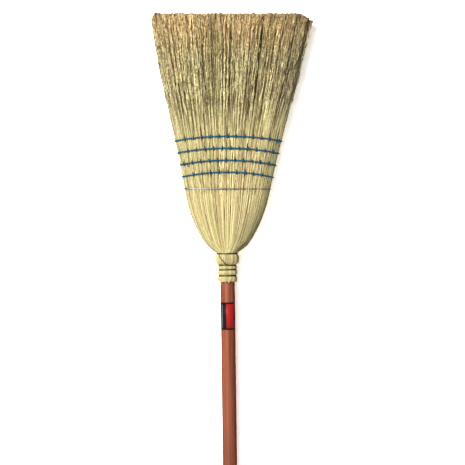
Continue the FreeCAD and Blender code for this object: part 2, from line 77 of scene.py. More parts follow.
# Outline of the head, metres: height above the foot, half width, half thickness.
OUTLINE = (
    (0.0000, 0.0205, 0.0203),
    (0.0040, 0.0275, 0.0215),
    (0.0097, 0.0345, 0.0232),
    (0.0180, 0.0420, 0.0248),
    (0.0297, 0.0497, 0.0262),
    (0.0450, 0.0580, 0.0268),
    (0.0647, 0.0668, 0.0264),
    (0.0897, 0.0752, 0.0248),
    (0.1227, 0.0825, 0.0226),
    (0.1547, 0.0888, 0.0214),
    (0.2237, 0.1046, 0.0216),
    (0.2747, 0.1175, 0.0226),
    (0.3447, 0.1345, 0.0246),
    (0.4597, 0.1585, 0.0278),
)
WIDEST = OUTLINE[-1][1]
THICK_TOP = 0.03  # scale of the curves of thickness and radius
SQUARENESS = 2.6  # how boxy the head's cross-section is; 2 is an ellipse


def lerp_outline(up, column):
    """Half width (1) or half thickness (2) of the head at a height above its foot."""
    for low, high in zip(OUTLINE, OUTLINE[1:]):
        if up <= high[0]:
            share = max(0.0, (up - low[0]) / (high[0] - low[0]))
            return low[column] + share * (high[column] - low[column])
    return OUTLINE[-1][column]


def lean_at(up, lean):
    return lean * max(0.0, up / TALL) ** 1.4


def squared(share):
    """Pushes a sine or cosine outwards, to the boxy cross-section."""
    return math.copysign(abs(share) ** (2 / SQUARENESS), share)


# ---- sizes and colours ----


def size_of(name, description, default, precision=4):
    return bpy.props.FloatProperty(name=name, description=description, default=default,
                                   precision=precision, subtype="DISTANCE", unit="LENGTH")


def count_of(name, description, default):
    return bpy.props.IntProperty(name=name, description=description, default=default, min=1)


def colour_of(name, description, *default):
    return bpy.props.FloatVectorProperty(name=name, description=description, default=default,
                                         subtype="COLOR")


class BroomSizes(bpy.types.PropertyGroup):
    """Sizes of the bristles and the twine."""

    lean: size_of("Lean", "Sideways set of the tips", 0.0152)
    stalk_radius: size_of("Stalk radius", "Thick lower stalks", 0.00095, 5)
    bristle_radius: size_of("Bristle radius", "Fine upper bristles", 0.00090, 5)
    crinkle: size_of("Crinkle", "Sideways waviness of the tips", 0.0040)
    clumping: bpy.props.FloatProperty(
        name="Clumping", description="How far the tips draw together in tufts", default=0.50, min=0.0,
        max=1.0, subtype="FACTOR")
    tufts: bpy.props.FloatProperty(name="Tufts", description="Tufts across half the head", default=15.0)
    locks: bpy.props.FloatProperty(
        name="Locks", description="Fine locks across half the head", default=34.0)
    stalks: count_of("Stalks", "Thick stalks in each bunch", 75)
    bristles: count_of("Bristles", "Fine bristles in each bunch", 830)
    twine_radius: size_of("Twine radius", "Sewing twine", 0.00165, 5)
    stitch_pitch: size_of("Stitch pitch", "Distance between stitches", 0.0164)
    row_drop: size_of("Row drop", "How far a row hangs towards its ends", 0.0095)
    row_tilt: size_of("Row tilt", "How much lower a row's right end is than its middle", 0.0016)


class BroomColours(bpy.types.PropertyGroup):
    """Colours of the straw, wood, label and twine."""

    straw: colour_of("Straw", "Most of the bristles", 0.600, 0.525, 0.235)
    pale: colour_of("Pale straw", "Lightest stalks", 0.770, 0.695, 0.370)
    green: colour_of("Green straw", "Greenish bristles", 0.50, 0.475, 0.175)
    tan: colour_of("Tan straw", "Pinkish tan stalks", 0.530, 0.390, 0.205)
    brown: colour_of("Brown straw", "Darkest bristles", 0.170, 0.120, 0.055)
    lacquer: colour_of("Lacquer", "Red-brown handle", 0.240, 0.066, 0.030)
    twine: colour_of("Twine", "Blue sewing twine", 0.009, 0.076, 0.130)
    label: colour_of("Label", "Label ground", 0.007, 0.006, 0.006)
    panel: colour_of("Label panel", "Plain panel on the label", 0.36, 0.012, 0.014)


def sizes():
    return bpy.context.scene.broom_sizes


def colours():
    return bpy.context.scene.broom_colours


def set_down(name, data):
    """A new object in the scene."""
    made = bpy.data.objects.new(name, data)
    bpy.context.scene.collection.objects.link(made)
    return made


def discard(thing):
    """Removes a mesh object and its mesh."""
    mesh = thing.data
    bpy.data.objects.remove(thing)
    bpy.data.meshes.remove(mesh)


def on_circle(radius, angle, height):
    return radius * math.cos(angle), radius * math.sin(angle), height


# ---- arithmetic in node trees ----


def put(tree, socket, value):
    """Links a field to a socket, or sets the socket's own value."""
    if isinstance(value, Field):
        tree.links.new(value.socket, socket)
    elif hasattr(value, "is_output"):
        tree.links.new(value, socket)
    else:
        socket.default_value = value


class Field:
    """A number in a node tree. Arithmetic on it adds Math nodes."""

    def __init__(self, tree, socket):
        self.tree, self.socket = tree, socket

    def math(self, kind, *others):
        node = self.tree.nodes.new("ShaderNodeMath")
        node.operation = kind
        for place, value in enumerate((self, *others)):
            put(self.tree, node.inputs[place], value)
        return Field(self.tree, node.outputs[0])

    def __add__(self, other):
        return self.math("ADD", other)

    def __sub__(self, other):
        return self.math("SUBTRACT", other)

    def __mul__(self, other):
        return self.math("MULTIPLY", other)

    def __truediv__(self, other):
        return self.math("DIVIDE", other)

    def __pow__(self, other):
        return self.math("POWER", other)

    def from_one(self):
        return self * -1.0 + 1.0

    def ramp(self, low, high, kind="SMOOTHSTEP"):
        """0 below low, 1 above high, smooth between them."""
        node = self.tree.nodes.new("ShaderNodeMapRange")
        node.interpolation_type = kind
        put(self.tree, node.inputs["Value"], self)
        put(self.tree, node.inputs["From Min"], low)
        put(self.tree, node.inputs["From Max"], high)
        return Field(self.tree, node.outputs["Result"])

    def bump(self, width):
        """1 where the value is 0, falling off within a width."""
        scaled = self / width
        return (scaled * scaled * -1.0).math("EXPONENT")


def new_tree(name, kind, output, inputs):
    """An empty node tree with one output.

    Its inputs are defaults by name: a whole number, a fraction, or the name of another kind of socket.
    Returns the tree, its inputs as fields and its output socket.
    """
    tree = bpy.data.node_groups.new(name, kind)
    for label, default in inputs.items():
        socket_type = {int: "Int", float: "Float"}.get(type(default), default)
        socket = tree.interface.new_socket(label, in_out="INPUT", socket_type=f"NodeSocket{socket_type}")
        if default != socket_type:
            socket.default_value = default
    label, socket_type = output
    tree.interface.new_socket(label, in_out="OUTPUT", socket_type=f"NodeSocket{socket_type}")
    given = tree.nodes.new("NodeGroupInput")
    result = tree.nodes.new("NodeGroupOutput").inputs[0]
    return tree, {label: Field(tree, given.outputs[label]) for label in inputs}, result


def node_with(tree, kind, settings=None, **values):
    """A node with its options and its inputs set, where inputs are named with spaces as underscores."""
    node = tree.nodes.new(kind)
    for option, value in (settings or {}).items():
        setattr(node, option, value)
    for name, value in values.items():
        put(tree, node.inputs[name.replace("_", " ")], value)
    return node


def read(tree, kind, output=0):
    """One output of a node that needs no inputs."""
    return Field(tree, tree.nodes.new(kind).outputs[output])


def vector(tree, x, y, z):
    return node_with(tree, "ShaderNodeCombineXYZ", X=x, Y=y, Z=z).outputs[0]


def curve_of(tree, factor, places, heights):
    """A smooth field through heights at places, where the factor runs from 0 to 1 over the places."""
    node = tree.nodes.new("ShaderNodeFloatCurve")
    put(tree, node.inputs["Value"], factor)
    points = node.mapping.curves[0].points
    while len(points) < len(places):
        points.new(0.5, 0.5)
    first, span = places[0], places[-1] - places[0]
    for point, place, height in zip(points, places, heights):
        point.location = ((place - first) / span, height)
        point.handle_type = "AUTO"
    node.mapping.update()
    return Field(tree, node.outputs[0])


def outline_curve(tree, factor, column, top):
    """A field that follows one column of the outline, from 0 at the foot to 1 at the tips."""
    ups = [row[0] for row in OUTLINE]
    return curve_of(tree, factor, ups, [row[column] / top for row in OUTLINE]) * top


def cloud(tree, place, scale, detail, stretch=None):
    """Noise from 0 to 1, at a place that may be scaled along each axis first."""
    if stretch:
        place = node_with(tree, "ShaderNodeMapping", Vector=place, Scale=stretch).outputs[0]
    node = node_with(tree, "ShaderNodeTexNoise", Vector=place, Scale=scale, Detail=detail)
    return Field(tree, node.outputs["Fac"])


def noise(tree, x, y, z, scale, detail=1.0):
    """Noise from -1 to 1."""
    return cloud(tree, vector(tree, x, y, z), scale, detail) * 2.0 - 1.0


def keep_number(tree, geometry, name, value, kind="FLOAT", domain="POINT"):
    """Stores a value on the geometry for the materials to read."""
    node = node_with(tree, "GeometryNodeStoreNamedAttribute", {"data_type": kind, "domain": domain},
                     Geometry=geometry, Name=name, Value=value)
    return node.outputs[0]


def keep(tree, geometry, **numbers):
    for name, value in numbers.items():
        geometry = keep_number(tree, geometry, name, value)
    return geometry


def kept(tree, name):
    return Field(tree, node_with(tree, "GeometryNodeInputNamedAttribute", {"data_type": "FLOAT"},
                                 Name=name).outputs[0])


# ---- bristles ----

BAND_UP = 0.1227
ROW_UPS = (0.1547, 0.1778, 0.2009, 0.2240)
LAID = 0.8  # height of the laid twine's middle over the straw, as a share of its radius
SPREAD = 1.414  # strands crowd towards the sides, by a sine over this angle
STITCH_SETS = (0.0, -0.2, 0.3, -0.1)  # sideways set of each row's stitches, as a share of their pitch

HEAD_INPUTS = {
    "Seed": 0, "From": -1.0, "To": 1.0, "Side": -1.0, "Lean": 0.0, "Crinkle": 0.004, "Clumping": 0.5,
    "Tufts": 12.0, "Locks": 40.0, "Row Drop": 0.0095, "Row Tilt": 0.0016, "Stitch Pitch": 0.0164,
}
LAYER_INPUTS = {
    **HEAD_INPUTS, "Count": 100, "Root Low": 0.0, "Root High": 0.1, "End Low": 0.4, "End High": 0.46,
    "Radius": 0.001, "Taper": 0.4, "Depth": 0.004, "Band": 0,
}
BUNCH_INPUTS = {
    **HEAD_INPUTS, "Stalks": 90, "Bristles": 1000, "Stalk Radius": 0.001, "Bristle Radius": 0.0004,
    "Material": "Material",
}
UV_BANDS = 4  # layers of strands in a bunch, each with its own band of the UV map


def trimmed(place):
    """How far the tips lie below full height: a slant, a slot between bunches and worn corners."""
    slot = (place - 0.328).bump(0.016) * 0.0055
    right = place.ramp(0.85, 1.0, "LINEAR") * 0.0140
    left = (place * -1.0).ramp(0.95, 1.0, "LINEAR") * 0.0060
    return place * 0.0021 + slot + right + left


def shaped(tree, lines, x, y, z):
    """The lines with their points moved to these places."""
    place = vector(tree, x, y, z)
    return node_with(tree, "GeometryNodeSetPosition", Geometry=lines, Position=place).outputs[0]


def strand_lines(tree, count, points):
    """Straight lines, one for each strand, with their number and the place along them."""
    start = node_with(tree, "GeometryNodePoints", Count=count)
    line = tree.nodes.new("GeometryNodeCurvePrimitiveLine")
    fine = node_with(tree, "GeometryNodeResampleCurve", Curve=line.outputs[0], Count=points)
    placed = node_with(tree, "GeometryNodeInstanceOnPoints", Points=start.outputs[0],
                       Instance=fine.outputs[0])
    real = node_with(tree, "GeometryNodeRealizeInstances", Geometry=placed.outputs[0])
    number = read(tree, "GeometryNodeCurveOfPoint", "Curve Index")
    return real.outputs[0], number, read(tree, "GeometryNodeSplineParameter", "Factor")


def chances(tree, number, seed, steps):
    """Random numbers from 0 to 1 for each strand, one for each step past the seed."""
    found = []
    for step in steps:
        node = node_with(tree, "FunctionNodeRandomValue", {"data_type": "FLOAT"}, ID=number,
                         Seed=seed + float(step))
        found.append(Field(tree, next(socket for socket in node.outputs if socket.type == "VALUE")))
    return found


def tubes(tree, lines, sides, radius, number, count, band=0.0, bands=1):
    """Round strands on lines, closed at both ends, each with its own strip in one band of the UV map."""
    lines = keep_number(tree, lines, "strip", number / count)
    ring = node_with(tree, "GeometryNodeCurvePrimitiveCircle", Resolution=sides, Radius=1.0)
    turn = read(tree, "GeometryNodeInputIndex") / float(sides)
    ring = keep_number(tree, ring.outputs[0], "turn", turn)
    skin = node_with(tree, "GeometryNodeCurveToMesh", Curve=lines, Profile_Curve=ring, Scale=radius,
                     Fill_Caps=True)
    across = kept(tree, "strip") + kept(tree, "turn") * 0.8 / count
    up = (kept(tree, "along") * 0.96 + 0.02 + band) / float(bands)
    return keep_number(tree, skin.outputs[0], "OFBake", vector(tree, across, up, 0.0),
                       "FLOAT2", "CORNER")


def layer_tree(name, points, sides):
    """Node group that grows one layer of strands over one bunch of the head."""
    tree, value, result = new_tree(name, "GeometryNodeTree", ("Strands", "Geometry"), LAYER_INPUTS)
    lines, number, along = strand_lines(tree, value["Count"], points)
    seed = value["Seed"]
    rnd = chances(tree, number, seed, range(8))

    spread = value["From"] + (value["To"] - value["From"]) * rnd[0]
    place = (spread * SPREAD).math("SINE") / math.sin(SPREAD)

    # Neighbouring strands keep together in locks, which share their waves, tone and depth.
    uneven = noise(tree, place * 6.0, seed * 0.37, 0.0, 2.0)
    lock_place = place * value["Locks"] + uneven * 1.6
    lock = lock_place.math("FLOOR")
    own = chances(tree, lock + 500.0, seed, range(20, 26))
    root = value["Root Low"] + (value["Root High"] - value["Root Low"]) * rnd[1]
    end = value["End Low"] + (value["End High"] - value["End Low"]) * (rnd[2] ** 0.5) - trimmed(place)
    end = end - own[0] * 0.0060
    up = root + (end - root) * (along.from_one() ** 1.5).from_one()
    factor = up / TALL
    loose = up.ramp(ROW_UPS[-1] + 0.002, TALL * 0.70)

    # Tufts part more and more towards the tips, at uneven places.
    drift = noise(tree, place * 4.0, rnd[4] * 0.3 + seed * 0.11, factor * 2.0, 1.0)
    shift = noise(tree, place * 5.0, value["Side"] * 3.0, 0.0, 2.0)
    tuft_place = place * value["Tufts"] + shift * 2.6
    off = tuft_place - tuft_place.math("FLOOR") - 0.5
    lock_off = lock_place - lock - 0.5
    gather = value["Clumping"] * up.ramp(ROW_UPS[-1] + 0.002, TALL * 0.64)
    drawn = place - (off / value["Tufts"]) * gather * 0.45 - (lock_off / value["Locks"]) * loose * 0.55
    fan = (rnd[3] - 0.5) * (factor - 0.3) * 0.035
    drawn = drawn + drift * 0.012 * factor + fan * loose.from_one() + (own[1] - 0.5) * loose * 0.016
    drawn = drawn.math("MINIMUM", 0.998).math("MAXIMUM", -0.998)

    wide = outline_curve(tree, factor, 1, WIDEST)
    thick = outline_curve(tree, factor, 2, THICK_TOP)
    depth = value["Depth"] * rnd[3]
    lean = value["Lean"] * (factor.math("MAXIMUM", 0.0) ** 1.4)
    across = (wide - depth * 0.55) * drawn
    bulge = (drawn.math("ABSOLUTE") ** SQUARENESS).from_one() ** (1.0 / SQUARENESS)

    # The wire band and the sewn rows press the straw in, and each stitch pulls a crease along the straw.
    tilt = drawn * value["Row Tilt"]
    dip = (up - BAND_UP + tilt).bump(0.0055) * 0.0036
    crease = drawn * 0.0
    for row, row_up in enumerate(ROW_UPS):
        from_row = up - row_up + drawn * drawn * value["Row Drop"] + tilt
        steps = place * lerp_outline(row_up, 1) / value["Stitch Pitch"] - STITCH_SETS[row]
        from_stitch = (steps - steps.math("ROUND")) * value["Stitch Pitch"]
        high = 0.007 if row + 1 < len(ROW_UPS) else 0.024
        reach = from_row.bump(0.0050) + (from_row - high * 0.55).bump(high * 0.55) * 0.85
        dip = dip + from_row.bump(0.0045) * 0.0016
        crease = crease + reach * from_stitch.bump(0.0016)
    crease = crease.math("MINIMUM", 1.0)
    groove = (off * 2.0).math("ABSOLUTE") ** 4.0 * gather * 0.0065
    lock_edge = (lock_off * 2.0).math("ABSOLUTE") ** 4.0
    standing = (own[2] - 0.6) * (loose * 0.0048 + 0.0010) - lock_edge * loose * 0.0020
    out = (thick - depth - dip - groove - crease * 0.0050 + standing) * bulge * value["Side"]

    stray = rnd[6] ** 9.0 * 1.6 + 1.0
    shake_x = noise(tree, own[3] * 40.0, own[4] * 40.0, factor, 24.0, 2.0) * 0.8
    shake_x = shake_x + noise(tree, rnd[4] * 40.0, rnd[6] * 40.0, factor, 34.0) * 0.75
    shake_y = noise(tree, rnd[6] * 31.0, rnd[4] * 27.0, factor, 30.0)
    frayed = up.ramp(TALL * 0.90, TALL) * 0.7 + 1.0
    shake = value["Crinkle"] * (loose * 0.92 + 0.06) * stray * frayed
    moved = shaped(tree, lines, lean + across + shake_x * shake, out + shake_y * shake * 0.75, up + FOOT)

    # Painted shade, passed to the straw's material: strands lying deeper in the head, in the gaps between
    # tufts, at the edges of locks and in the stitch creases are painted darker, and less so between the
    # band and the rows.
    tuft_gap_shade = (off * 2.0).math("ABSOLUTE") ** 3.0 * gather
    above_rows = up.ramp(ROW_UPS[-1], ROW_UPS[-1] + 0.02)
    pressed = up.ramp(BAND_UP - 0.01, BAND_UP + 0.01) * above_rows.from_one()
    sunk = rnd[3] * 0.75 + (own[2] * -1.0 + 0.6) * loose * 0.5
    # Painted shade from the light's side: the head darkens towards its right edge and a little towards its
    # left edge, and below the band it darkens towards the right.
    side_shade = (drawn.ramp(0.55, 0.95) * 0.42).math("MAXIMUM", (drawn * -1.0).ramp(0.60, 0.95) * 0.28)
    side_shade = side_shade + drawn.ramp(-0.1, 0.9) * up.ramp(0.06, BAND_UP + 0.02).from_one() * 0.22
    buried = sunk * (loose * 0.5 + 0.5) * (pressed * 0.45).from_one()
    for shaded in (tuft_gap_shade, lock_edge * loose * 0.6, crease * 0.85):
        buried = buried.math("MAXIMUM", shaded)
    buried = (buried + side_shade).math("MINIMUM", 1.1)
    tone = rnd[7] * 0.82 + own[5] * 0.18
    moved = keep(tree, moved, along=along, tone=tone, height=factor, buried=buried)
    radius = value["Radius"] * (along * value["Taper"]).from_one() * (rnd[5] * 0.5 + 0.75)
    skin = tubes(tree, moved, sides, radius, number, value["Count"], value["Band"], UV_BANDS)
    tree.links.new(skin, result)
    return tree


def end_tree(tree, parts, material, result):
    """Joins the parts of a tree, makes them real and gives them their material."""
    joined = tree.nodes.new("GeometryNodeJoinGeometry")
    for part in parts:
        tree.links.new(part, joined.inputs[0])
    real = node_with(tree, "GeometryNodeRealizeInstances", Geometry=joined.outputs[0])
    painted = node_with(tree, "GeometryNodeSetMaterial", Geometry=real.outputs[0], Material=material)
    tree.links.new(painted.outputs[0], result)


def tree_once(name, build):
    """The named tree, built the first time it is asked for."""
    return bpy.data.node_groups.get(name) or build(name)


def bunch_tree(name):
    """One bunch: thick stalks below, and finer and finer bristles towards the tips."""
    tree, value, result = new_tree(name, "GeometryNodeTree", ("Bunch", "Geometry"), BUNCH_INPUTS)
    shared = {key: value[key] for key in HEAD_INPUTS if key not in ("Seed", "Crinkle")}
    coarse = tree_once("Stalk layer", lambda label: layer_tree(label, 19, 5))
    fine = tree_once("Bristle layer", lambda label: layer_tree(label, 20, 3))
    few, many = value["Stalks"], value["Bristles"]
    stalk, bristle = value["Stalk Radius"], value["Bristle Radius"]
    rows = (
        # layer, count, root from and to, end from and to, radius, taper, depth, share of the crinkle
        (coarse, few, -0.001, 0.0, 0.12, 0.30, stalk, 0.45, 0.0016, 0.30),
        (coarse, few, -0.001, 0.06, 0.16, 0.34, stalk * 0.8, 0.5, 0.0028, 0.4),
        (fine, many * 0.35, 0.05, 0.22, 0.34, TALL + 0.0015, bristle * 1.25, 0.55, 0.0042, 0.8),
        (fine, many, 0.205, 0.36, TALL - 0.012, TALL + 0.0042, bristle, 0.35, 0.0085, 1.0),
    )
    names = ("Count", "Root Low", "Root High", "End Low", "End High", "Radius", "Taper", "Depth")
    parts = []
    for band, (layer, *own, crinkle) in enumerate(rows):
        node = tree.nodes.new("GeometryNodeGroup")
        node.node_tree = layer
        settings = {**shared, **dict(zip(names, own)), "Seed": value["Seed"] + 100.0 * band,
                    "Crinkle": value["Crinkle"] * crinkle, "Band": band}
        for label, setting in settings.items():
            put(tree, node.inputs[label], setting)
        parts.append(node.outputs[0])
    end_tree(tree, parts, value["Material"], result)
    return tree


def grow(name, tree, values):
    """Runs a geometry tree once and keeps its result as a plain mesh."""
    holder = set_down(f"{name} source", bpy.data.meshes.new(f"{name} source"))
    modifier = holder.modifiers.new("Build", "NODES")
    modifier.node_group = tree
    for item in tree.interface.items_tree:
        if item.in_out == "INPUT" and item.name in values:
            modifier[item.identifier] = values[item.name]
    graph = bpy.context.evaluated_depsgraph_get()
    mesh = bpy.data.meshes.new_from_object(holder.evaluated_get(graph), depsgraph=graph)
    discard(holder)
    mesh.name = name
    if not len(mesh.polygons):
        raise RuntimeError(f"{name} grew no faces")
    return set_down(name.replace(" ", "_"), mesh)


def mesh_piece(name, points, faces, material, smooth=True, marks=None):
    """A plain mesh piece at the origin."""
    mesh = bpy.data.meshes.new(name)
    mesh.from_pydata([tuple(point) for point in points], [], faces)
    mesh.materials.append(material)
    mesh.polygons.foreach_set("use_smooth", [smooth] * len(faces))
    if marks:
        layer = mesh.uv_layers.new(name="UVMap")
        for loop in mesh.loops:
            layer.data[loop.index].uv = marks[loop.vertex_index]
    mesh.update()
    return set_down(name.replace(" ", "_"), mesh)


def ring_faces(rings, around):
    """Faces of a closed skin over rings of points, with its two ends capped."""
    faces = []
    for ring in range(rings - 1):
        for step in range(around):
            a, b = ring * around + step, ring * around + (step + 1) % around
            faces.append((a, b, b + around, a + around))
    faces.append(tuple(reversed(range(around))))
    faces.append(tuple(range((rings - 1) * around, rings * around)))
    return faces


def lathe(name, rings, around, material):
    """A closed solid of revolution about Z from (radius, height) rings."""
    points = []
    for radius, height in rings:
        for step in range(around):
            angle = 2 * math.pi * step / around
            points.append(on_circle(radius, angle, height))
    return mesh_piece(name, points, ring_faces(len(rings), around), material)


def claim(piece, slot, *nodes):
    """The piece rides on the broom and stands for these nodes, which are hidden. The slot is not used."""
    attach(piece, BODY)
    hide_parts(*nodes)


# ---- materials ----


def material_once(name, build):
    """The named material, made the first time it is asked for. Its build gives the shader's inputs."""
    found = bpy.data.materials.get(name)
    if found:
        return found
    made = bpy.data.materials.new(name)
    made.use_nodes = True
    tree = made.node_tree
    inputs = build(tree, read(tree, "ShaderNodeTexCoord", "Object"))
    for label, value in inputs.items():
        put(tree, tree.nodes["Principled BSDF"].inputs[label], value)
    return made


def rough(tree, height, strength, distance):
    return node_with(tree, "ShaderNodeBump", Height=height, Strength=strength,
                     Distance=distance).outputs[0]


def times(colour, factor):
    return tuple(part * factor for part in colour)


def attribute(tree, name):
    return Field(tree, node_with(tree, "ShaderNodeAttribute", {"attribute_name": name}).outputs["Fac"])


def colour_steps(tree, factor, steps):
    """A colour ramp through (place, colour) steps."""
    node = tree.nodes.new("ShaderNodeValToRGB")
    put(tree, node.inputs[0], factor)
    ramp = node.color_ramp
    while len(ramp.elements) < len(steps):
        ramp.elements.new(0.5)
    for element, (place, colour) in zip(ramp.elements, steps):
        element.position = place
        element.color = (*colour, 1.0)
    return node.outputs[0]


def blend(tree, factor, first, second, kind="MIX"):
    node = node_with(tree, "ShaderNodeMix", {"data_type": "RGBA", "blend_type": kind})
    put(tree, node.inputs[0], factor)
    for socket, value in ((node.inputs[6], first), (node.inputs[7], second)):
        if isinstance(value, tuple):
            socket.default_value = (*value, 1.0) if len(value) == 3 else value
        else:
            tree.links.new(value, socket)
    return node.outputs[2]


def dry_straw_group(name):
    """Shared effect: the colour of dry straw by a strand's own tone and its height on the broom, with
    painted shade where a strand is marked as shadowed and a little over the upper head.
    """
    tree, value, result = new_tree(name, "ShaderNodeTree", ("Color", "Color"), {
        "Tone": 0.5, "Height": 0.5, "Buried": 0.0, "Place": "Vector"})
    tone, height, buried = value["Tone"], value["Height"], value["Buried"]
    c = colours()
    low = colour_steps(tree, tone, [
        (0.05, tuple(c.brown)), (0.18, tuple(c.tan)), (0.36, tuple(c.straw)), (0.52, tuple(c.pale)),
        (0.66, tuple(c.straw)), (0.80, tuple(c.green)), (0.92, tuple(c.tan))])
    high = colour_steps(tree, tone, [
        (0.24, tuple(c.brown)), (0.36, times(c.tan, 0.7)), (0.46, tuple(c.green)),
        (0.56, tuple(c.straw)), (0.66, tuple(c.pale)), (0.82, times(c.pale, 1.12))])
    base = blend(tree, height.ramp(0.49, 0.66), low, high)
    warm = cloud(tree, value["Place"], 14.0, 2.0).ramp(0.50, 0.72) * height.ramp(0.40, 1.0)
    base = blend(tree, warm * 0.35 + height.ramp(0.86, 1.0) * 0.25, base, times(c.tan, 1.15))
    base = blend(tree, height.ramp(0.84, 1.0), base, (1.26, 1.10, 1.02), "MULTIPLY")
    spots = cloud(tree, value["Place"], 230.0, 3.0).ramp(0.45, 0.62)
    base = blend(tree, spots * (height.ramp(0.50, 0.75) * 0.50 + 0.16), base, tuple(c.brown))
    base = blend(tree, height.ramp(0.50, 0.75), base, (1.08, 1.08, 1.08), "MULTIPLY")
    # Painted shade: the shadowed share darkens the straw by up to 74%, and the upper head is painted 6%
    # darker.
    shade = (buried * 0.74).from_one() * (height.ramp(0.46, 0.70) * 0.06).from_one()
    gray = node_with(tree, "ShaderNodeCombineColor", Red=shade, Green=shade * 0.985, Blue=shade * 0.95)
    tree.links.new(blend(tree, 1.0, base, gray.outputs[0], "MULTIPLY"), result)
    return tree


def straw_inputs(tree, place):
    group = tree.nodes.new("ShaderNodeGroup")
    group.node_tree = tree_once("Dry straw", dry_straw_group)
    for label in ("Tone", "Height", "Buried"):
        put(tree, group.inputs[label], attribute(tree, label.lower()))
    put(tree, group.inputs["Place"], place)
    return {"Base Color": group.outputs[0], "Roughness": 0.52, "Specular IOR Level": 0.35}


def shade_dark_packed_straw_inputs(tree, place):
    """Straw packed deep in the head, painted dark as the shade there, with upright streaks."""
    streak = cloud(tree, place, 1.0, 3.0, (420.0, 420.0, 14.0))
    colour = colour_steps(tree, streak, [
        (0.35, (0.06, 0.038, 0.014)), (0.55, (0.20, 0.135, 0.052)), (0.75, (0.36, 0.26, 0.11))])
    return {"Base Color": colour, "Roughness": 0.8, "Normal": rough(tree, streak, 0.6, 0.001)}


def lacquer_inputs(tree, place):
    """Red-brown lacquer over straight grained wood."""
    base = tuple(colours().lacquer)
    grain = cloud(tree, place, 1.0, 5.0, (260.0, 260.0, 7.0))
    lines = colour_steps(tree, grain, [(0.30, times(base, 0.55)), (0.50, base), (0.74, times(base, 1.35))])
    tint = colour_steps(tree, cloud(tree, place, 1.0, 2.0, (60.0, 60.0, 2.2)), [
        (0.30, (0.80, 0.78, 0.76)), (0.52, (1.0, 1.0, 1.0)), (0.72, (1.0, 1.0, 1.0))])
    return {"Base Color": blend(tree, 1.0, lines, tint, "MULTIPLY"), "Roughness": 0.42,
            "Specular IOR Level": 0.25, "Coat Weight": 0.28, "Coat Roughness": 0.14,
            "Normal": rough(tree, grain, 0.10, 0.0004)}


def wire_inputs(tree, place, low=(0.12, 0.12, 0.10), high=(0.30, 0.29, 0.25)):
    """Zinc coated wire, matt and a little uneven."""
    colour = colour_steps(tree, cloud(tree, place, 300.0, 2.0), [(0.3, low), (0.7, high)])
    return {"Base Color": colour, "Metallic": 0.75, "Roughness": 0.45}


# The neck wire: the same zinc wire painted darker and browner, as painted shade for the grooves it lies
# in.
def shaded_wire_inputs(tree, place):
    return wire_inputs(tree, place, (0.045, 0.040, 0.022), (0.13, 0.115, 0.075))


def twine_inputs(tree, place):
    """Blue plastic twine, a little uneven."""
    base = tuple(colours().twine)
    colour = colour_steps(tree, cloud(tree, place, 500.0, 2.0), [
        (0.30, times(base, 0.60)), (0.55, base), (0.78, times(base, 1.6))])
    return {"Base Color": colour, "Roughness": 0.6, "Specular IOR Level": 0.2}


def label_inputs(tree, place):
    """Printed label: black ground, one plain red panel and one pale stripe beside it."""
    uv = node_with(tree, "ShaderNodeUVMap", {"uv_map": "UVMap"})
    split = node_with(tree, "ShaderNodeSeparateXYZ", Vector=uv.outputs[0])
    u, v = (Field(tree, split.outputs[axis]) for axis in ("X", "Y"))

    def strip(value, middle, half):
        return (value - middle).math("ABSOLUTE").math("LESS_THAN", half)

    c = colours()
    panel = strip(u, 0.640, 0.225) * strip(v, 0.5, 0.44)
    stripe = strip(u, 0.18, 0.014) * strip(v, 0.5, 0.42)
    colour = blend(tree, panel, tuple(c.label), tuple(c.panel))
    colour = blend(tree, stripe, colour, (0.24, 0.235, 0.22))
    return {"Base Color": colour, "Roughness": 0.50, "Specular IOR Level": 0.12}


def paper_inputs(tree, place):
    """White to the camera from the front, and clear to everything else."""
    tree.nodes.remove(tree.nodes["Principled BSDF"])
    bright = node_with(tree, "ShaderNodeBsdfDiffuse", Color=(2.7, 2.7, 2.7, 1.0))
    clear = tree.nodes.new("ShaderNodeBsdfTransparent")
    front = read(tree, "ShaderNodeNewGeometry", "Backfacing").from_one()
    share = front * read(tree, "ShaderNodeLightPath", "Is Camera Ray")
    seen = tree.nodes.new("ShaderNodeMixShader")
    for socket, value in zip(seen.inputs, (share, clear.outputs[0], bright.outputs[0])):
        put(tree, socket, value)
    put(tree, tree.nodes["Material Output"].inputs["Surface"], seen.outputs[0])
    return {}


def floor_inputs(tree, place):
    """Pale, and brighter to the camera than to the broom."""
    return {"Base Color": (0.80, 0.80, 0.79, 1.0), "Roughness": 0.9,
            "Emission Color": (1.0, 1.0, 0.99, 1.0),
            "Emission Strength": read(tree, "ShaderNodeLightPath", "Is Camera Ray") * 0.60}


# ---- operators ----


class BuildHandle(bpy.types.Operator):
    """Lacquered wooden handle with a rounded butt"""

    bl_idname = "broom.build_handle"
    bl_label = "Handle"

    def execute(self, context):
        low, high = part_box("handle")
        radius = high[0]
        soft = -low[2]
        rings = [(0.0008, low[2])]
        for step in range(1, 9):
            angle = math.pi / 2 * step / 8
            rings.append((radius - soft + soft * math.sin(angle), low[2] + soft - soft * math.cos(angle)))
        for step in range(1, 31):
            rings.append((radius, (SKIRT + 0.002) * step / 30))
        rings.append((0.0105, high[2] - 0.003))
        rings.append((0.0075, high[2]))
        handle = lathe("Handle", rings, 96, material_once("Lacquered wood", lacquer_inputs))
        claim(handle, "lacquered_wood", "handle")
        return {"FINISHED"}


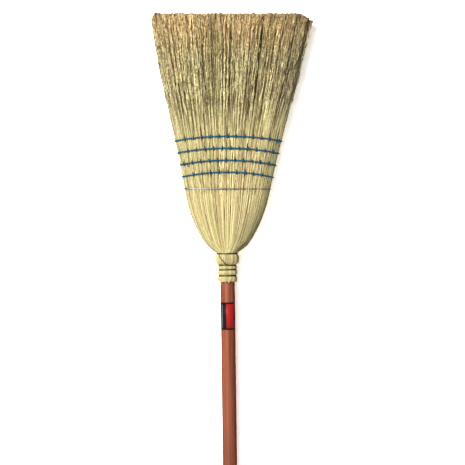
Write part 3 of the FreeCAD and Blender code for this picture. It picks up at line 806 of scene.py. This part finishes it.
class BuildLabel(bpy.types.Operator):
    """Printed label wrapped on the handle"""

    bl_idname = "broom.build_label"
    bl_label = "Label"

    def execute(self, context):
        low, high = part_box("handle_label")
        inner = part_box("handle")[1][0] + 0.00001
        outer = inner + 0.00012
        half = math.asin(min(1.0, high[0] / outer))
        columns, rows = 40, 2
        points, marks, faces = [], [], []
        for radius in (outer, inner):
            for column in range(columns + 1):
                angle = -math.pi / 2 - half + 2 * half * column / columns
                for row in range(rows + 1):
                    height = low[2] + (high[2] - low[2]) * row / rows
                    points.append(on_circle(radius, angle, height))
                    marks.append((column / columns, row / rows))
        per = rows + 1
        sheet = (columns + 1) * per
        for column in range(columns):
            for row in range(rows):
                a = column * per + row
                faces.append((a, a + per, a + per + 1, a + 1))
                faces.append((sheet + a + 1, sheet + a + per + 1, sheet + a + per, sheet + a))
            a, b = column * per, (column + 1) * per
            faces.append((a, sheet + a, sheet + b, b))
            faces.append((a + rows, b + rows, sheet + b + rows, sheet + a + rows))
        for row in range(rows):
            last = columns * per
            faces.append((row, row + 1, sheet + row + 1, sheet + row))
            faces.append((last + row + 1, last + row, sheet + last + row, sheet + last + row + 1))
        printed = material_once("Printed label", label_inputs)
        label = mesh_piece("Label", points, faces, printed, marks=marks)
        claim(label, "label", "handle_label")
        return {"FINISHED"}


def neck_profile():
    """Radius of the bound stems by height above the skirt, metres."""
    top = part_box("neck_stems")[1][2] - SKIRT
    return (
        (-0.0008, 0.0178), (0.0022, 0.0184), (0.0070, 0.0185), (0.0094, 0.0161), (0.0114, 0.0161),
        (0.0134, 0.0187), (0.0162, 0.0193), (0.0190, 0.0187), (0.0208, 0.0162), (0.0228, 0.0162),
        (0.0244, 0.0182), (0.0265, 0.0187), (0.0280, 0.0182), (0.0294, 0.0161), (0.0313, 0.0162),
        (0.0345, 0.0205), (0.0385, 0.0226), (0.0425, 0.0230), (0.0465, 0.0228), (0.0500, 0.0215),
        (0.0523, 0.0196), (top + 0.0005, 0.0196), (top + 0.004, 0.0215),
    )


def neck_radius(height):
    """Radius of the neck at a height above the skirt."""
    profile = neck_profile()
    for low, high in zip(profile, profile[1:]):
        if height <= high[0]:
            return low[1] + (high[1] - low[1]) * (height - low[0]) / (high[0] - low[0])
    return profile[-1][1]


def neck_tree(name):
    """Bound stalk ends round the handle, pinched in by the wire and ragged at the skirt."""
    profile = neck_profile()
    tree, value, result = new_tree(name, "GeometryNodeTree", ("Stems", "Geometry"), {
        "Count": 110, "Seed": 5, "Radius": 0.0008, "Ragged": 0.002, "Material": "Material"})
    lines, number, along = strand_lines(tree, value["Count"], 60)
    rnd = chances(tree, number, value["Seed"], range(5))
    low, high = profile[0][0], profile[-1][0]
    start = rnd[0] * value["Ragged"] * -1.0 + (rnd[1] * value["Ragged"])
    up = start + low + ((start * -1.0) + (high - low)) * along
    places, radii = zip(*profile)
    heights = [radius / THICK_TOP for radius in radii]
    reach = curve_of(tree, (up - low) / (high - low), places, heights) * THICK_TOP
    reach = reach - value["Radius"] * 0.75
    turn = (number + (rnd[2] - 0.5) * 0.7) / value["Count"]
    sway = noise(tree, turn * 9.0, 0.0, up * 30.0, 1.0) * 0.05
    angle = (turn * (2 * math.pi)) + sway + up * 2.6
    reach = reach + (rnd[3] - 0.5) * 0.0006
    moved = shaped(tree, lines, angle.math("COSINE") * reach, angle.math("SINE") * reach, up + SKIRT)
    # Painted shade: each stem takes a random share, up to a quarter.
    moved = keep(tree, moved, along=along, tone=rnd[4] * 0.75 + 0.1, height=along * 0.02,
                 buried=rnd[3] * 0.25)
    radius = value["Radius"] * (rnd[1] * 0.5 + 0.75)
    skin = tubes(tree, moved, 6, radius, number, value["Count"])
    end_tree(tree, [skin], value["Material"], result)
    return tree


class BuildNeck(bpy.types.Operator):
    """Bound stalk ends between the skirt and the top wire"""

    bl_idname = "broom.build_neck"
    bl_label = "Neck"

    def execute(self, context):
        straw = material_once("Neck straw", straw_inputs)
        tree = tree_once("Neck stems", neck_tree)
        stems = grow("Neck stems", tree, {
            "Count": 78, "Seed": 5, "Radius": 0.00098, "Ragged": 0.0030, "Material": straw})
        claim(stems, "stems", "neck_stems")
        packed = [(max(0.0142, radius - 0.0013), SKIRT + height) for height, radius in neck_profile()
                  if height > 0.0]
        packed.insert(0, (0.0142, SKIRT + 0.0004))
        # Under the stems, a core of straw painted dark, as the shade inside the neck.
        under = lathe("Packed neck straw", packed, 72, material_once("Packed straw", shade_dark_packed_straw_inputs))
        claim(under, "stems", "neck_stems")
        return {"FINISHED"}


class BuildBristles(bpy.types.Operator):
    """The six outer bunches of the head, strand by strand"""

    bl_idname = "broom.build_bristles"
    bl_label = "Bristles"

    def execute(self, context):
        s = sizes()
        straw = material_once("Dry straw", straw_inputs)
        tree = tree_once("Bristle bunch", bunch_tree)
        third = math.asin(math.sin(SPREAD) / 3) / SPREAD
        spans = (("left", -1.0, -third), ("middle", -third, third), ("right", third, 1.0))
        shared = {label: getattr(s, label.lower().replace(" ", "_")) for label in (
            "Lean", "Stalk Radius", "Bristle Radius", "Crinkle", "Clumping", "Tufts", "Locks", "Row Drop",
            "Row Tilt", "Stitch Pitch")}
        for face, side in (("front", -1.0), ("back", 1.0)):
            for number, (where, start, end) in enumerate(spans):
                share = (end - start) / (2 / 3)
                piece = grow(f"{face.capitalize()} {where} bristles", tree, {
                    **shared, "Seed": 11 + number * 7 + (3 if side > 0 else 0), "From": start, "To": end,
                    "Side": side, "Stalks": int(s.stalks * share), "Bristles": int(s.bristles * share),
                    "Material": straw})
                claim(piece, "straw_outer", f"{face}_{where}_bunch")
        return {"FINISHED"}


def oval_points(up, inset, around, lean):
    """One level of the head's cross-section, inset from its outline."""
    wide, thick = lerp_outline(up, 1) - inset, lerp_outline(up, 2) - inset
    points = []
    for step in range(around):
        angle = 2 * math.pi * step / around
        across, out = squared(math.cos(angle)) * wide, squared(math.sin(angle)) * thick
        points.append((lean_at(up, lean) + across, out, FOOT + up))
    return points


def fill_tree(name):
    """Tips of the inner straw, seen from above the head."""
    tree, value, result = new_tree(name, "GeometryNodeTree", ("Tips", "Geometry"), {
        "Count": 3000, "Seed": 3, "Lean": 0.015, "Radius": 0.0005, "Length": 0.045, "Crinkle": 0.003,
        "Material": "Material"})
    lines, number, along = strand_lines(tree, value["Count"], 6)
    rnd = chances(tree, number, value["Seed"], range(6))
    place = rnd[0] * 1.96 - 0.98
    limit = (place.math("ABSOLUTE") ** SQUARENESS).from_one() ** (1.0 / SQUARENESS)
    ragged = noise(tree, place * 55.0, 0.0, 0.0, 1.0) * 0.0044 - (rnd[2] ** 0.5) * 0.0090 + 0.0040
    up = (value["Length"] * -1.0 + TALL) + (value["Length"] + ragged - trimmed(place)) * along
    factor = up / TALL
    wide = outline_curve(tree, factor, 1, WIDEST)
    thick = outline_curve(tree, factor, 2, THICK_TOP)
    across = (wide - 0.002) * place
    out = (thick - 0.002) * limit * (rnd[1] * 2.0 - 1.0)
    shake = value["Crinkle"] * (along * 0.8 + 0.2)
    shake_x = noise(tree, rnd[3] * 40.0, rnd[4] * 40.0, factor, 12.0) * shake
    shake_y = noise(tree, rnd[4] * 37.0, rnd[3] * 29.0, factor, 12.0) * shake
    lean = value["Lean"] * (factor ** 1.4)
    moved = shaped(tree, lines, lean + across + shake_x, out + shake_y, up + FOOT)
    # Painted shade: the inner tips darken towards their roots, deep in the head.
    buried = along.from_one() * 0.8 + 0.2
    moved = keep(tree, moved, along=along, tone=rnd[5], height=factor, buried=buried)
    skin = tubes(tree, moved, 3, value["Radius"] * (rnd[4] * 0.5 + 0.75), number, value["Count"])
    end_tree(tree, [skin], value["Material"], result)
    return tree


class BuildInnerStraw(bpy.types.Operator):
    """Core and shoulders: packed straw inside the head, and its tips on top"""

    bl_idname = "broom.build_inner_straw"
    bl_label = "Inner straw"

    def execute(self, context):
        s = sizes()
        inner = ("core_fill", "left_shoulder", "right_shoulder")
        around, levels = 72, 40
        top = TALL - 0.030
        points = []
        for level in range(levels + 1):
            up = top * level / levels
            inset = 0.0030 + 0.0055 * (up / top)
            points += oval_points(up, inset, around, s.lean)
        # The core straw is painted dark, as the shade deep inside the head.
        body = mesh_piece("Packed straw", points, ring_faces(levels + 1, around),
                          material_once("Packed straw", shade_dark_packed_straw_inputs))
        claim(body, "straw_inner", *inner)
        tips = grow("Inner tips", tree_once("Inner tips", fill_tree), {
            "Count": 5200, "Seed": 3, "Lean": s.lean, "Radius": 0.00055, "Length": 0.05,
            "Crinkle": 0.003, "Material": material_once("Dry straw", straw_inputs)})
        claim(tips, "straw_inner", *inner)
        return {"FINISHED"}


def row_point(row, angle, proud, s):
    """Middle of a row's laid twine, at an angle round the head."""
    x_share = squared(math.cos(angle))
    up = ROW_UPS[row] - s.row_drop * x_share**2 - s.row_tilt * x_share
    wide, thick = lerp_outline(up, 1) + proud, lerp_outline(up, 2) + proud
    return Vector((lean_at(up, s.lean) + x_share * wide, squared(math.sin(angle)) * thick, FOOT + up))


def ply_tree(name):
    """Two plies of twine wound round each other along the paths of a wire mesh."""
    tree, value, result = new_tree(name, "GeometryNodeTree", ("Twine", "Geometry"), {
        "Path": "Object", "Radius": 0.0012, "Lay": 0.006, "Step": 0.0008, "Material": "Material"})
    source = node_with(tree, "GeometryNodeObjectInfo", Object=value["Path"])
    line = node_with(tree, "GeometryNodeMeshToCurve", Mesh=source.outputs["Geometry"])
    fine = node_with(tree, "GeometryNodeResampleCurve", {"mode": "LENGTH"}, Curve=line.outputs[0],
                     Length=value["Step"])
    length = read(tree, "GeometryNodeSplineParameter", "Length")
    tangent = read(tree, "GeometryNodeInputTangent")
    normal = read(tree, "GeometryNodeInputNormal", "Normal")
    parts = []
    for ply in range(2):
        angle = length / value["Lay"] * (2 * math.pi) + math.pi * ply
        turned = node_with(tree, "ShaderNodeVectorRotate", Vector=normal, Axis=tangent, Angle=angle)
        scaled = node_with(tree, "ShaderNodeVectorMath", {"operation": "SCALE"}, Vector=turned.outputs[0],
                           Scale=value["Radius"] * 0.42)
        moved = node_with(tree, "GeometryNodeSetPosition", Geometry=fine.outputs[0],
                          Offset=scaled.outputs[0])
        ring = node_with(tree, "GeometryNodeCurvePrimitiveCircle", Resolution=7, Radius=1.0)
        skin = node_with(tree, "GeometryNodeCurveToMesh", Curve=moved.outputs[0],
                         Profile_Curve=ring.outputs[0], Scale=value["Radius"] * 0.62, Fill_Caps=True)
        parts.append(skin.outputs[0])
    end_tree(tree, parts, value["Material"], result)
    return tree


def path_object(name, paths, closed):
    """Wire mesh that holds one or more paths for a geometry tree."""
    points, edges = [], []
    for path in paths:
        first = len(points)
        points += [tuple(point) for point in path]
        edges += [(first + step, first + step + 1) for step in range(len(path) - 1)]
        if closed:
            edges.append((first + len(path) - 1, first))
    mesh = bpy.data.meshes.new(name)
    mesh.from_pydata(points, edges, [])
    return set_down(name, mesh)


def twist(name, paths, closed, radius, lay, material):
    """Twisted twine along paths."""
    path = path_object(f"{name} path", paths, closed)
    piece = grow(name, tree_once("Twisted twine", ply_tree), {
        "Path": path, "Radius": radius, "Lay": lay, "Step": 0.0011, "Material": material})
    discard(path)
    return piece


class BuildTwine(bpy.types.Operator):
    """Blue twine laid round the head in each row, and the knot that ends it"""

    bl_idname = "broom.build_twine"
    bl_label = "Sewing twine"

    def execute(self, context):
        s = sizes()
        blue = material_once("Blue twine", twine_inputs)
        around = 160
        for row in range(len(ROW_UPS)):
            ring = [row_point(row, 2 * math.pi * step / around, s.twine_radius * LAID, s)
                    for step in range(around)]
            piece = twist(f"Row {row + 1} twine", [ring], True, s.twine_radius, 0.0075, blue)
            claim(piece, "blue_twine", f"row_{row + 1}_twine")
            path = knot_path(row, s)
            knot = twist(f"Row {row + 1} knot", [path], False, s.twine_radius * 0.62, 0.004, blue)
            claim(knot, "blue_twine", f"row_{row + 1}_knot")
        return {"FINISHED"}


def knot_path(row, s):
    """Two hitches round the laid twine, and a short tail."""
    top = row + 1 == len(ROW_UPS)
    angle = -0.43 if top else (0.5 if row % 2 else math.pi - 0.5)
    proud = s.twine_radius * LAID
    centre = row_point(row, angle, proud, s)
    along = (row_point(row, angle + 0.02, proud, s) - centre).normalized()
    out = (row_point(row, angle, proud + 0.001, s) - centre).normalized()
    across = along.cross(out)
    path = []
    for step in range(25):
        turn = 4 * math.pi * step / 24
        path.append(centre + along * (0.0034 * (step / 24 - 0.5))
                    + (out * math.cos(turn) + across * math.sin(turn)) * s.twine_radius * 1.5)
    tail = Vector((-0.0085, -0.0030, -0.0062)) if top else Vector((0.0, 0.0012, -0.0062))
    path += [path[-1] + out * 0.0008 + tail * 0.3, path[-1] + out * 0.0006 + tail]
    return path


def stitch_spots(row, s):
    """Places of a row's stitches, as angles round the head. The top row's last one is its knot."""
    limit = lerp_outline(ROW_UPS[row], 1) - 0.007
    last = limit - (0.003 if row + 1 == len(ROW_UPS) else 0.0)
    spots = []
    place = (STITCH_SETS[row] - math.floor(limit / s.stitch_pitch) - 1) * s.stitch_pitch
    while place < last:
        if place > -limit:
            share = place / (limit + 0.007)
            spots.append(math.acos(math.copysign(abs(share) ** (SQUARENESS / 2), share)))
        place += s.stitch_pitch
    return spots


class BuildStitches(bpy.types.Operator):
    """Stitches that tie each row down, on both faces"""

    bl_idname = "broom.build_stitches"
    bl_label = "Stitches"

    def execute(self, context):
        s = sizes()
        blue = material_once("Blue twine", twine_inputs)
        for row in range(len(ROW_UPS)):
            chooser = random.Random(40 + row)
            paths = []
            for angle in stitch_spots(row, s):
                for side in (1, -1):
                    centre = row_point(row, side * angle, s.twine_radius * LAID, s)
                    out = Vector((0.0, side, 0.0))
                    tilt = 0.23 * math.cos(angle) + chooser.uniform(-0.12, 0.12)
                    over = s.twine_radius * 1.3
                    reach = s.twine_radius * 2.1 + chooser.uniform(0.0, 0.0008)
                    path = []
                    for step in range(9):
                        share = step / 8 * 2 - 1
                        bend = math.cos(share * math.pi / 2)
                        rise = reach * share + 0.0006
                        path.append(centre + Vector((tilt * rise, 0.0, rise))
                                    + out * (over * bend - 0.0030 * (1 - bend)))
                    paths.append(path)
            if row == 1:
                end = row_point(row, -2.50, s.twine_radius * 0.9, s)
                paths.append([end, end + Vector((0.0012, -0.0012, -0.0022)),
                              end + Vector((0.0031, -0.0008, -0.0064))])
            piece = twist(f"Row {row + 1} stitches", paths, False, s.twine_radius * 0.70, 0.0045, blue)
            claim(piece, "blue_twine", f"row_{row + 1}_stitches")
        return {"FINISHED"}


class BuildNeckWire(bpy.types.Operator):
    """Wire wound into the grooves of the neck, with one crossing over the ball"""

    bl_idname = "broom.build_neck_wire"
    bl_label = "Neck wire"

    def execute(self, context):
        # Each groove: height above the skirt, radius of the wire's middle, and the angle it is left at.
        grooves = ((0.0104, 0.0171, 1.35), (0.0218, 0.0172, 1.50), (0.0303, 0.0172, -1.62),
                   (0.0533, 0.0203, 1.2))
        sweep = 0.85
        path = []
        angle = 1.9
        for number, (height, radius, leave) in enumerate(grooves):
            turns = 2 * math.pi + ((leave - angle) % (2 * math.pi))
            steps = int(turns * 14)
            for step in range(steps + 1):
                share = step / steps
                now = angle + turns * share
                rise = 0.0016 * (share - 0.5)
                path.append(on_circle(radius, now, SKIRT + height + rise))
            angle = leave
            if number + 1 == len(grooves):
                break
            up = grooves[number + 1][0] - height
            for step in range(1, 12):
                share = step / 12
                level = height + up * share
                now = angle - sweep * share
                path.append(on_circle(neck_radius(level) + 0.0010, now, SKIRT + level))
            angle -= sweep
        # The neck wire takes the darker copy of the zinc finish, painted shade for its grooves; the
        # crossing over the ball shares it.
        shaded_wire = material_once("Shaded neck wire", shaded_wire_inputs)
        wire = twist("Neck wire", [path], False, 0.00115, 1.0, shaded_wire)
        claim(wire, "galvanised_wire", "neck_wire")
        return {"FINISHED"}


class FinishWires(bpy.types.Operator):
    """Galvanised finish on the band, the first winding and the nails, which keep their built shape"""

    bl_idname = "broom.finish_wires"
    bl_label = "Band and nails"

    def execute(self, context):
        zinc = material_once("Galvanised wire", wire_inputs)
        for node in ("core_winding", "band_wire", "start_nail", "end_nail"):
            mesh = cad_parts[node].data
            mesh.materials.clear()
            mesh.materials.append(zinc)
        return {"FINISHED"}


def aim(thing, place, target, up=Vector((0.0, 0.0, 1.0))):
    """Stands a light or camera at a place, looking at a target."""
    back = (Vector(place) - Vector(target)).normalized()
    right = up.cross(back).normalized()
    above = back.cross(right)
    turned = Matrix((right, above, back)).transposed().to_4x4()
    thing.matrix_world = Matrix.Translation(place) @ turned


class BuildStage(bpy.types.Operator):
    """Pale floor and backdrop, soft lights and the camera"""

    bl_idname = "broom.build_stage"
    bl_label = "Stage"

    def execute(self, context):
        scene = context.scene
        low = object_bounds()[0]
        paper = material_once("White paper", paper_inputs)
        # The backdrop leans back a little, to touch the butt of the handle and the back of the head.
        rise = 0.012
        base_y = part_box("handle")[1][1] + 0.0008
        corners = [(x, base_y + rise * z, z) for x, z in (
            (-4.0, low[2] - 0.02), (4.0, low[2] - 0.02), (4.0, 4.0), (-4.0, 4.0))]
        wall = mesh_piece("Backdrop", corners, [(0, 1, 2, 3)], paper, False)
        floor_z = low[2] - 0.0005
        ground = [(x * 30.0, y * 30.0, floor_z) for x, y in ((-1, -1), (1, -1), (1, 1), (-1, 1))]
        pale = material_once("Pale floor", floor_inputs)
        floor = mesh_piece("Floor", ground, [(0, 1, 2, 3)], pale, False)
        wall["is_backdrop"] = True
        floor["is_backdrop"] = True

        for name, place, target, size, power in (
            ("Key light", (-1.86, -2.94, 3.15), (0.0, 0.0, 1.15), 0.7, 262.0),
            ("Front light", (-1.38, -4.02, 1.72), (0.0, 0.0, 1.12), 1.7, 38.0),
            ("Back light", (0.5, 3.4, 2.0), (0.0, 0.0, 1.1), 1.2, 120.0),
        ):
            data = bpy.data.lights.new(name, "AREA")
            data.size = size
            data.energy = power
            light = set_down(name, data)
            aim(light, place, target)
            light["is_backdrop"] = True

        world = bpy.data.worlds.new("Soft room")
        world.use_nodes = True
        tree = world.node_tree
        glow = tree.nodes["Background"]
        glow.inputs["Color"].default_value = (1.0, 1.0, 1.0, 1.0)
        seen = read(tree, "ShaderNodeLightPath", "Is Camera Ray")
        put(tree, glow.inputs["Strength"], seen * 0.85 + 0.05)
        scene.world = world
        scene.view_settings.view_transform = "Standard"

        data = bpy.data.cameras.new("Camera")
        distance, view_width = 7.0, 0.898
        data.sensor_width = 36.0
        data.lens = data.sensor_width * distance / view_width
        camera = set_down("Camera", data)
        roll = math.radians(0.75)
        target = Vector((0.0108, 0.0, 1.0587))
        above = Vector((math.sin(roll), 0.0, math.cos(roll)))
        aim(camera, target - Vector((0.0, distance, 0.0)), target, above)
        scene.camera = camera
        return {"FINISHED"}


STEPS = (BuildHandle, BuildLabel, BuildNeck, BuildInnerStraw, BuildBristles, BuildTwine, BuildStitches,
         BuildNeckWire, FinishWires, BuildStage)


class BroomPanel(bpy.types.Panel):
    """Sidebar panel with the broom's sizes, colours and build steps"""

    bl_idname = "VIEW3D_PT_broom"
    bl_label = "Broom"
    bl_space_type = "VIEW_3D"
    bl_region_type = "UI"
    bl_category = "Broom"

    def draw(self, context):
        for group in (context.scene.broom_sizes, context.scene.broom_colours):
            for name in group.__annotations__:
                self.layout.prop(group, name)
        for step in STEPS:
            self.layout.operator(step.bl_idname)


CLASSES = (BroomSizes, BroomColours, *STEPS, BroomPanel)


def register():
    for item in CLASSES:
        bpy.utils.register_class(item)
    bpy.types.Scene.broom_sizes = bpy.props.PointerProperty(type=BroomSizes)
    bpy.types.Scene.broom_colours = bpy.props.PointerProperty(type=BroomColours)


def unregister():
    del bpy.types.Scene.broom_sizes
    del bpy.types.Scene.broom_colours
    for item in reversed(CLASSES):
        bpy.utils.unregister_class(item)


def main():
    register()
    for step in STEPS:
        area, name = step.bl_idname.split(".")
        getattr(getattr(bpy.ops, area), name)()


if __name__ == "__main__":
    main()
